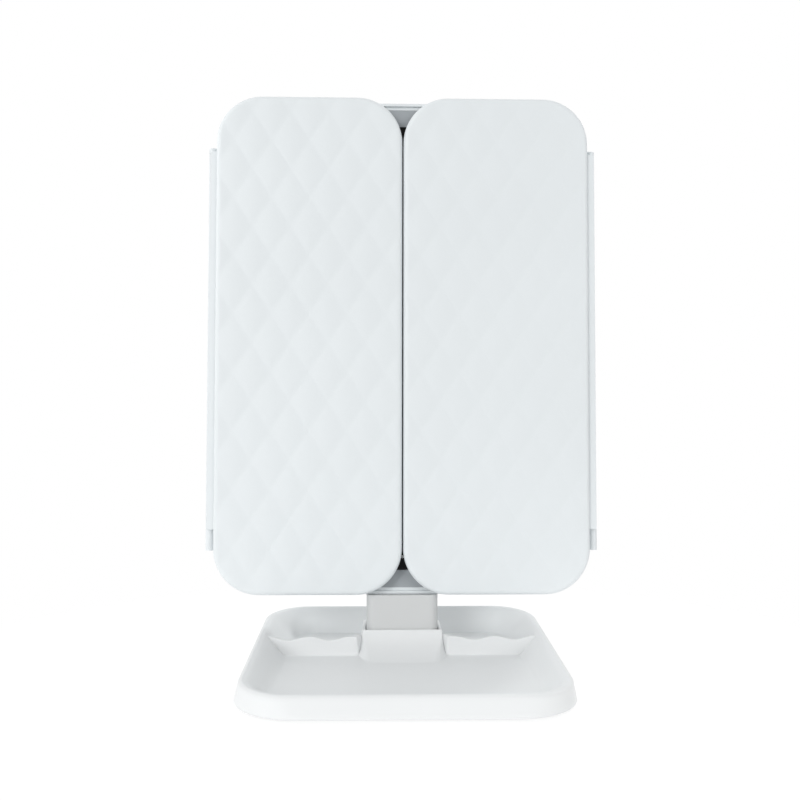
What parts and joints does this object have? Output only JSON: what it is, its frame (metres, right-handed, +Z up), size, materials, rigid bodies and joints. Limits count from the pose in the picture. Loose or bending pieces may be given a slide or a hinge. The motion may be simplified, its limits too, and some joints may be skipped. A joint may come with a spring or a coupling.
{
  "type": "trifold vanity mirror",
  "caption": "Upright lit vanity mirror closed by two quilted wings that fold open, on a tilting neck in a storage tray with scalloped dividers.",
  "frame": {"origin": "middle of the tray's footprint on the surface it stands on", "axes": "+Z up, the mirror faces -Y, +X to the right of someone who looks into it"},
  "size_m": [0.189, 0.1294, 0.2727],
  "materials": {
    "white_plastic": "satin white moulded plastic",
    "quilted_plastic": "satin white moulded plastic with diamond quilting",
    "grey_plastic": "matt light plastic",
    "black_plastic": "matt black plastic",
    "steel": "zinc-plated steel",
    "screw_steel": "zinc-plated screws",
    "rubber": "soft rubber",
    "diffuser": "frosted acrylic",
    "mirror": "silvered glass",
    "led_strip": "flexible strip with lamps",
    "cells": "plain wrapped steel cans",
    "nickel": "nickel-plated spring steel",
    "board": "green circuit board",
    "copper_foil": "copper foil",
    "foam": "closed-cell foam"
  },
  "bodies": {
    "base": {"base_tray": "white_plastic", "base_plate": "grey_plastic", "ballast_plate": "steel", "base_feet": "rubber", "base_screws": "screw_steel", "tilt_bracket": "steel", "bracket_screws": "screw_steel", "tilt_shaft": "steel", "tilt_washers": "steel"},
    "head": {"neck": "white_plastic", "neck_cover": "white_plastic", "head_bezel": "white_plastic", "light_ring": "diffuser", "centre_mirror": "mirror", "light_tray": "white_plastic", "led_strip": "led_strip", "head_housing": "white_plastic", "collar_screws": "screw_steel", "head_screws": "screw_steel", "batteries": "cells", "battery_contacts": "nickel", "circuit_board": "board", "board_screws": "screw_steel", "usb_jack": "nickel", "power_switch": "black_plastic", "touch_pad": "copper_foil", "wing_left_pin": "steel", "wing_right_pin": "steel"},
    "wing_left": {"wing_left_cover": "quilted_plastic", "wing_left_frame": "white_plastic", "wing_left_mirror_upper": "mirror", "wing_left_mirror_lower": "mirror", "wing_left_backing": "foam"},
    "wing_right": {"wing_right_cover": "quilted_plastic", "wing_right_frame": "white_plastic", "wing_right_mirror": "mirror", "wing_right_backing": "foam"},
    "power_knob": {"power_knob": "black_plastic"},
    "battery_door": {"battery_door": "white_plastic"}
  },
  "joints": [
    {"name": "head_tilt", "type": "hinge", "parent": "base", "child": "head", "pos_m": [0, 0.0275, 0.0095], "axis": [-1, 0, 0], "range_deg": [0, 20]},
    {"name": "wing_left_open", "type": "hinge", "parent": "head", "child": "wing_left", "pos_m": [-0.0924, 0.02215, 0.1521], "axis": [0, 0, -1], "range_deg": [0, 180]},
    {"name": "wing_right_open", "type": "hinge", "parent": "head", "child": "wing_right", "pos_m": [0.0924, 0.02215, 0.1521], "axis": [0, 0, 1], "range_deg": [0, 180]},
    {"name": "power_slide", "type": "slide", "parent": "head", "child": "power_knob", "axis": [1, 0, 0], "range_m": [0, 0.003]},
    {"name": "battery_door_pull", "type": "slide", "parent": "head", "child": "battery_door", "axis": [0, 1, 0], "range_m": [0, 0.012]}
  ]
}
